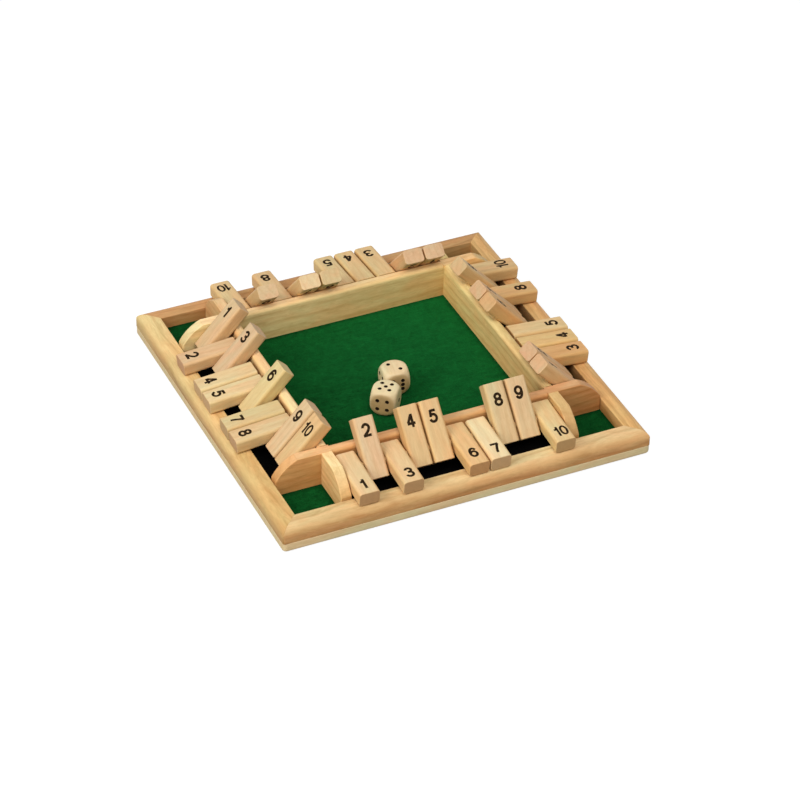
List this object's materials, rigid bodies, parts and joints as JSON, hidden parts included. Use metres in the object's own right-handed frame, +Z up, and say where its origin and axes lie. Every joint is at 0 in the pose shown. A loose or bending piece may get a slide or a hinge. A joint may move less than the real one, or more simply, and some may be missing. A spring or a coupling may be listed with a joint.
{
  "type": "shut the box game",
  "caption": "Square wooden shut the box board with a felt arena, lapped walls, banks of hinged number tiles on dowels and loose dice.",
  "frame": {"origin": "middle of the board's underside", "axes": "+X along the near rail to the right, +Y from the near player to the far one, +Z up"},
  "size_m": [0.3, 0.3, 0.0586],
  "materials": {
    "board_wood": "satin",
    "rail_wood": "satin",
    "wall_wood": "satin",
    "rod_wood": "satin",
    "tile_wood": "satin",
    "die_wood": "satin",
    "green_felt": "matte",
    "black_liner": "matte"
  },
  "bodies": {
    "board": {"base_board": "board_wood", "felt_sheet": "green_felt", "pivot_rod_far": "rod_wood", "pivot_rod_left": "rod_wood", "pivot_rod_near": "rod_wood", "pivot_rod_right": "rod_wood", "rail_far": "rail_wood", "rail_left": "rail_wood", "rail_near": "rail_wood", "rail_right": "rail_wood", "wall_far": "wall_wood", "wall_left": "wall_wood", "wall_near": "wall_wood", "wall_right": "wall_wood", "well_liner_far": "black_liner", "well_liner_left": "black_liner", "well_liner_near": "black_liner", "well_liner_right": "black_liner"},
    "die_front": {"die_front": "die_wood"},
    "die_rear": {"die_rear": "die_wood"},
    "tile_far_01": {"tile_far_01": "tile_wood"},
    "tile_far_02": {"tile_far_02": "tile_wood"},
    "tile_far_03": {"tile_far_03": "tile_wood"},
    "tile_far_04": {"tile_far_04": "tile_wood"},
    "tile_far_05": {"tile_far_05": "tile_wood"},
    "tile_far_06": {"tile_far_06": "tile_wood"},
    "tile_far_07": {"tile_far_07": "tile_wood"},
    "tile_far_08": {"tile_far_08": "tile_wood"},
    "tile_far_09": {"tile_far_09": "tile_wood"},
    "tile_far_10": {"tile_far_10": "tile_wood"},
    "tile_left_01": {"tile_left_01": "tile_wood"},
    "tile_left_02": {"tile_left_02": "tile_wood"},
    "tile_left_03": {"tile_left_03": "tile_wood"},
    "tile_left_04": {"tile_left_04": "tile_wood"},
    "tile_left_05": {"tile_left_05": "tile_wood"},
    "tile_left_06": {"tile_left_06": "tile_wood"},
    "tile_left_07": {"tile_left_07": "tile_wood"},
    "tile_left_08": {"tile_left_08": "tile_wood"},
    "tile_left_09": {"tile_left_09": "tile_wood"},
    "tile_left_10": {"tile_left_10": "tile_wood"},
    "tile_near_01": {"tile_near_01": "tile_wood"},
    "tile_near_02": {"tile_near_02": "tile_wood"},
    "tile_near_03": {"tile_near_03": "tile_wood"},
    "tile_near_04": {"tile_near_04": "tile_wood"},
    "tile_near_05": {"tile_near_05": "tile_wood"},
    "tile_near_06": {"tile_near_06": "tile_wood"},
    "tile_near_07": {"tile_near_07": "tile_wood"},
    "tile_near_08": {"tile_near_08": "tile_wood"},
    "tile_near_09": {"tile_near_09": "tile_wood"},
    "tile_near_10": {"tile_near_10": "tile_wood"},
    "tile_right_01": {"tile_right_01": "tile_wood"},
    "tile_right_02": {"tile_right_02": "tile_wood"},
    "tile_right_03": {"tile_right_03": "tile_wood"},
    "tile_right_04": {"tile_right_04": "tile_wood"},
    "tile_right_05": {"tile_right_05": "tile_wood"},
    "tile_right_06": {"tile_right_06": "tile_wood"},
    "tile_right_07": {"tile_right_07": "tile_wood"},
    "tile_right_08": {"tile_right_08": "tile_wood"},
    "tile_right_09": {"tile_right_09": "tile_wood"},
    "tile_right_10": {"tile_right_10": "tile_wood"}
  },
  "joints": [
    {"name": "die_front_lift", "type": "slide", "parent": "board", "child": "die_front", "axis": [0, 0, 1], "range_m": [0, 0.06]},
    {"name": "die_rear_lift", "type": "slide", "parent": "board", "child": "die_rear", "axis": [0, 0, 1], "range_m": [0, 0.06]},
    {"name": "tile_far_01_hinge", "type": "hinge", "parent": "board", "child": "tile_far_01", "pos_m": [0.07983, 0.1117, 0.0296], "axis": [1, 0, 0], "range_deg": [-138.1, 0]},
    {"name": "tile_far_02_hinge", "type": "hinge", "parent": "board", "child": "tile_far_02", "pos_m": [0.06209, 0.1117, 0.0296], "axis": [1, 0, 0], "range_deg": [-138.1, 0]},
    {"name": "tile_far_03_hinge", "type": "hinge", "parent": "board", "child": "tile_far_03", "pos_m": [0.04435, 0.1117, 0.0296], "axis": [1, 0, 0], "range_deg": [0, 138.1]},
    {"name": "tile_far_04_hinge", "type": "hinge", "parent": "board", "child": "tile_far_04", "pos_m": [0.02661, 0.1117, 0.0296], "axis": [1, 0, 0], "range_deg": [0, 138.1]},
    {"name": "tile_far_05_hinge", "type": "hinge", "parent": "board", "child": "tile_far_05", "pos_m": [0.00887, 0.1117, 0.0296], "axis": [1, 0, 0], "range_deg": [0, 138.1]},
    {"name": "tile_far_06_hinge", "type": "hinge", "parent": "board", "child": "tile_far_06", "pos_m": [-0.00887, 0.1117, 0.0296], "axis": [1, 0, 0], "range_deg": [-138.1, 0]},
    {"name": "tile_far_07_hinge", "type": "hinge", "parent": "board", "child": "tile_far_07", "pos_m": [-0.02661, 0.1117, 0.0296], "axis": [1, 0, 0], "range_deg": [-138.1, 0]},
    {"name": "tile_far_08_hinge", "type": "hinge", "parent": "board", "child": "tile_far_08", "pos_m": [-0.04435, 0.1117, 0.0296], "axis": [1, 0, 0], "range_deg": [0, 138.1]},
    {"name": "tile_far_09_hinge", "type": "hinge", "parent": "board", "child": "tile_far_09", "pos_m": [-0.06209, 0.1117, 0.0296], "axis": [1, 0, 0], "range_deg": [-138.1, 0]},
    {"name": "tile_far_10_hinge", "type": "hinge", "parent": "board", "child": "tile_far_10", "pos_m": [-0.07983, 0.1117, 0.0296], "axis": [1, 0, 0], "range_deg": [0, 130.5]},
    {"name": "tile_left_01_hinge", "type": "hinge", "parent": "board", "child": "tile_left_01", "pos_m": [-0.1117, 0.07983, 0.0296], "axis": [0, 1, 0], "range_deg": [-138.1, 0]},
    {"name": "tile_left_02_hinge", "type": "hinge", "parent": "board", "child": "tile_left_02", "pos_m": [-0.1117, 0.06209, 0.0296], "axis": [0, 1, 0], "range_deg": [0, 138.1]},
    {"name": "tile_left_03_hinge", "type": "hinge", "parent": "board", "child": "tile_left_03", "pos_m": [-0.1117, 0.04435, 0.0296], "axis": [0, 1, 0], "range_deg": [-138.1, 0]},
    {"name": "tile_left_04_hinge", "type": "hinge", "parent": "board", "child": "tile_left_04", "pos_m": [-0.1117, 0.02661, 0.0296], "axis": [0, 1, 0], "range_deg": [0, 138.1]},
    {"name": "tile_left_05_hinge", "type": "hinge", "parent": "board", "child": "tile_left_05", "pos_m": [-0.1117, 0.00887, 0.0296], "axis": [0, 1, 0], "range_deg": [0, 138.1]},
    {"name": "tile_left_06_hinge", "type": "hinge", "parent": "board", "child": "tile_left_06", "pos_m": [-0.1117, -0.00887, 0.0296], "axis": [0, 1, 0], "range_deg": [-138.1, 0]},
    {"name": "tile_left_07_hinge", "type": "hinge", "parent": "board", "child": "tile_left_07", "pos_m": [-0.1117, -0.02661, 0.0296], "axis": [0, 1, 0], "range_deg": [0, 138.1]},
    {"name": "tile_left_08_hinge", "type": "hinge", "parent": "board", "child": "tile_left_08", "pos_m": [-0.1117, -0.04435, 0.0296], "axis": [0, 1, 0], "range_deg": [0, 138.1]},
    {"name": "tile_left_09_hinge", "type": "hinge", "parent": "board", "child": "tile_left_09", "pos_m": [-0.1117, -0.06209, 0.0296], "axis": [0, 1, 0], "range_deg": [-138.1, 0]},
    {"name": "tile_left_10_hinge", "type": "hinge", "parent": "board", "child": "tile_left_10", "pos_m": [-0.1117, -0.07983, 0.0296], "axis": [0, 1, 0], "range_deg": [-138.1, 0]},
    {"name": "tile_near_01_hinge", "type": "hinge", "parent": "board", "child": "tile_near_01", "pos_m": [-0.07983, -0.1117, 0.0296], "axis": [-1, 0, 0], "range_deg": [0, 130.5]},
    {"name": "tile_near_02_hinge", "type": "hinge", "parent": "board", "child": "tile_near_02", "pos_m": [-0.06209, -0.1117, 0.0296], "axis": [-1, 0, 0], "range_deg": [-138.1, 0]},
    {"name": "tile_near_03_hinge", "type": "hinge", "parent": "board", "child": "tile_near_03", "pos_m": [-0.04435, -0.1117, 0.0296], "axis": [-1, 0, 0], "range_deg": [0, 138.1]},
    {"name": "tile_near_04_hinge", "type": "hinge", "parent": "board", "child": "tile_near_04", "pos_m": [-0.02661, -0.1117, 0.0296], "axis": [-1, 0, 0], "range_deg": [-138.1, 0]},
    {"name": "tile_near_05_hinge", "type": "hinge", "parent": "board", "child": "tile_near_05", "pos_m": [-0.00887, -0.1117, 0.0296], "axis": [-1, 0, 0], "range_deg": [-138.1, 0]},
    {"name": "tile_near_06_hinge", "type": "hinge", "parent": "board", "child": "tile_near_06", "pos_m": [0.00887, -0.1117, 0.0296], "axis": [-1, 0, 0], "range_deg": [0, 138.1]},
    {"name": "tile_near_07_hinge", "type": "hinge", "parent": "board", "child": "tile_near_07", "pos_m": [0.02661, -0.1117, 0.0296], "axis": [-1, 0, 0], "range_deg": [0, 138.1]},
    {"name": "tile_near_08_hinge", "type": "hinge", "parent": "board", "child": "tile_near_08", "pos_m": [0.04435, -0.1117, 0.0296], "axis": [-1, 0, 0], "range_deg": [-138.1, 0]},
    {"name": "tile_near_09_hinge", "type": "hinge", "parent": "board", "child": "tile_near_09", "pos_m": [0.06209, -0.1117, 0.0296], "axis": [-1, 0, 0], "range_deg": [-138.1, 0]},
    {"name": "tile_near_10_hinge", "type": "hinge", "parent": "board", "child": "tile_near_10", "pos_m": [0.07983, -0.1117, 0.0296], "axis": [-1, 0, 0], "range_deg": [0, 130.5]},
    {"name": "tile_right_01_hinge", "type": "hinge", "parent": "board", "child": "tile_right_01", "pos_m": [0.1117, -0.07983, 0.0296], "axis": [0, -1, 0], "range_deg": [-138.1, 0]},
    {"name": "tile_right_02_hinge", "type": "hinge", "parent": "board", "child": "tile_right_02", "pos_m": [0.1117, -0.06209, 0.0296], "axis": [0, -1, 0], "range_deg": [-138.1, 0]},
    {"name": "tile_right_03_hinge", "type": "hinge", "parent": "board", "child": "tile_right_03", "pos_m": [0.1117, -0.04435, 0.0296], "axis": [0, -1, 0], "range_deg": [0, 138.1]},
    {"name": "tile_right_04_hinge", "type": "hinge", "parent": "board", "child": "tile_right_04", "pos_m": [0.1117, -0.02661, 0.0296], "axis": [0, -1, 0], "range_deg": [0, 138.1]},
    {"name": "tile_right_05_hinge", "type": "hinge", "parent": "board", "child": "tile_right_05", "pos_m": [0.1117, -0.00887, 0.0296], "axis": [0, -1, 0], "range_deg": [0, 138.1]},
    {"name": "tile_right_06_hinge", "type": "hinge", "parent": "board", "child": "tile_right_06", "pos_m": [0.1117, 0.00887, 0.0296], "axis": [0, -1, 0], "range_deg": [-138.1, 0]},
    {"name": "tile_right_07_hinge", "type": "hinge", "parent": "board", "child": "tile_right_07", "pos_m": [0.1117, 0.02661, 0.0296], "axis": [0, -1, 0], "range_deg": [-138.1, 0]},
    {"name": "tile_right_08_hinge", "type": "hinge", "parent": "board", "child": "tile_right_08", "pos_m": [0.1117, 0.04435, 0.0296], "axis": [0, -1, 0], "range_deg": [0, 138.1]},
    {"name": "tile_right_09_hinge", "type": "hinge", "parent": "board", "child": "tile_right_09", "pos_m": [0.1117, 0.06209, 0.0296], "axis": [0, -1, 0], "range_deg": [-138.1, 0]},
    {"name": "tile_right_10_hinge", "type": "hinge", "parent": "board", "child": "tile_right_10", "pos_m": [0.1117, 0.07983, 0.0296], "axis": [0, -1, 0], "range_deg": [0, 130.5]}
  ]
}
